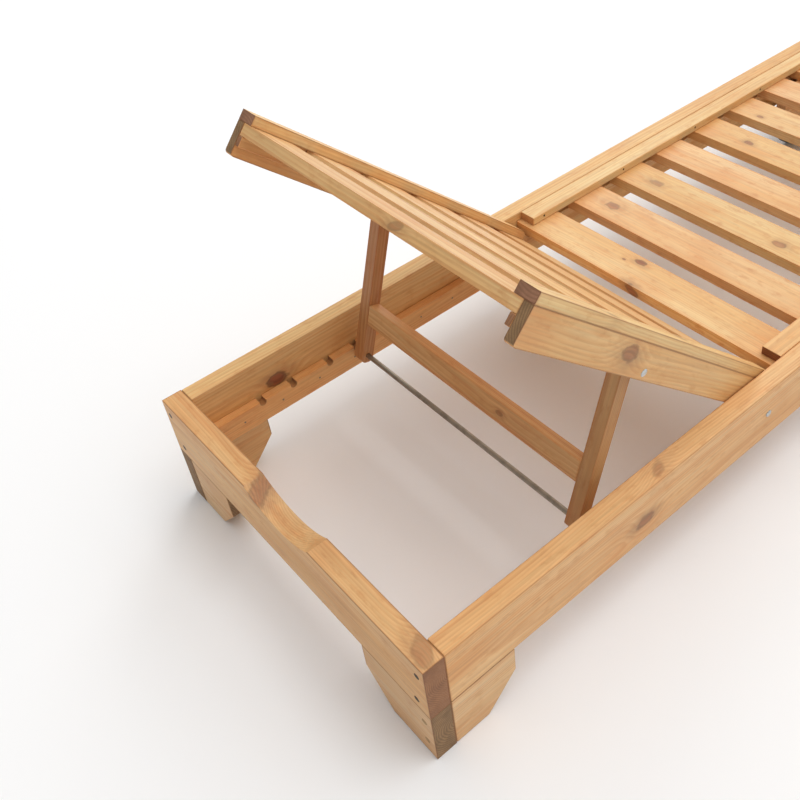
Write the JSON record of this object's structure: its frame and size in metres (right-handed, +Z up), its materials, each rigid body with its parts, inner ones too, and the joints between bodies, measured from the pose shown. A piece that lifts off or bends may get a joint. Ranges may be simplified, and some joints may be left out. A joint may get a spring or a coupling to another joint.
{
  "type": "sun lounger",
  "caption": "Slatted pine sun lounger with a hinged backrest held up by a folding prop frame, L-shaped feet at the head end and wheels under the slats.",
  "frame": {"origin": "on the ground, in the middle of the lounger's length and width", "axes": "+X to the left of a person lying on the bed, +Y towards the head end, +Z up"},
  "size_m": [0.6038, 1.945, 0.5938],
  "materials": {
    "rail_pine": "clear oiled pine, satin, honey coloured",
    "slat_pine": "clear oiled pine, satin, pale straw with orange streaks",
    "prop_pine": "oiled pine, darker reddish brown",
    "plain_steel": "zinc plated, dull",
    "dark_steel": "dark passivated screws",
    "black_plastic": "matt black"
  },
  "bodies": {
    "frame": {"axle": "plain_steel", "axle_cap_left": "plain_steel", "axle_cap_right": "plain_steel", "foot_front_left": "rail_pine", "foot_front_right": "rail_pine", "foot_rail": "rail_pine", "foot_screw_left_lower": "dark_steel", "foot_screw_left_upper": "dark_steel", "foot_screw_right_lower": "dark_steel", "foot_screw_right_upper": "dark_steel", "foot_side_left": "rail_pine", "foot_side_right": "rail_pine", "head_rail": "rail_pine", "head_screw_left_lower": "dark_steel", "head_screw_left_upper": "dark_steel", "head_screw_right_lower": "dark_steel", "head_screw_right_upper": "dark_steel", "hinge_bolt_left": "plain_steel", "hinge_bolt_right": "plain_steel", "rack_strip_left": "rail_pine", "rack_strip_right": "rail_pine", "seat_cap_left": "rail_pine", "seat_cap_right": "rail_pine", "seat_cleat_left": "rail_pine", "seat_cleat_right": "rail_pine", "seat_slat_01": "slat_pine", "seat_slat_02": "slat_pine", "seat_slat_03": "slat_pine", "seat_slat_04": "slat_pine", "seat_slat_05": "slat_pine", "seat_slat_06": "slat_pine", "seat_slat_07": "slat_pine", "seat_slat_08": "slat_pine", "seat_slat_09": "slat_pine", "seat_slat_10": "slat_pine", "seat_slat_11": "slat_pine", "side_rail_left": "rail_pine", "side_rail_right": "rail_pine", "wheel_bracket_left": "rail_pine", "wheel_bracket_right": "rail_pine"},
    "backrest": {"backrest_batten_left": "prop_pine", "backrest_batten_right": "prop_pine", "backrest_board_left": "rail_pine", "backrest_board_right": "rail_pine", "backrest_cap_left": "rail_pine", "backrest_cap_right": "rail_pine", "backrest_slat_1": "slat_pine", "backrest_slat_2": "slat_pine", "backrest_slat_3": "slat_pine", "backrest_slat_4": "slat_pine", "backrest_slat_5": "slat_pine", "backrest_slat_6": "slat_pine", "prop_bolt_left": "plain_steel", "prop_bolt_right": "plain_steel"},
    "prop": {"prop_crossbar": "prop_pine", "prop_leg_left": "prop_pine", "prop_leg_right": "prop_pine", "prop_rod": "plain_steel"},
    "wheel_left_body": {"wheel_left": "black_plastic"},
    "wheel_right_body": {"wheel_right": "black_plastic"}
  },
  "joints": [
    {"name": "backrest_recline", "type": "hinge", "parent": "frame", "child": "backrest", "pos_m": [0, 0.339, 0.1536], "axis": [-1, 0, 0], "range_deg": [0, 42]},
    {"name": "prop_fold", "type": "hinge", "parent": "backrest", "child": "prop", "pos_m": [0, 0.5874, 0.37807], "axis": [1, 0, 0], "range_deg": [0, 114.1]},
    {"name": "wheel_left_spin", "type": "hinge", "parent": "frame", "child": "wheel_left_body", "pos_m": [0.248, -0.5495, 0.075], "axis": [1, 0, 0], "continuous": true},
    {"name": "wheel_right_spin", "type": "hinge", "parent": "frame", "child": "wheel_right_body", "pos_m": [-0.248, -0.5495, 0.075], "axis": [1, 0, 0], "continuous": true}
  ],
  "couplings": [
    {"joint": "prop_fold", "follows": "backrest_recline", "ratio": 2.7143}
  ]
}
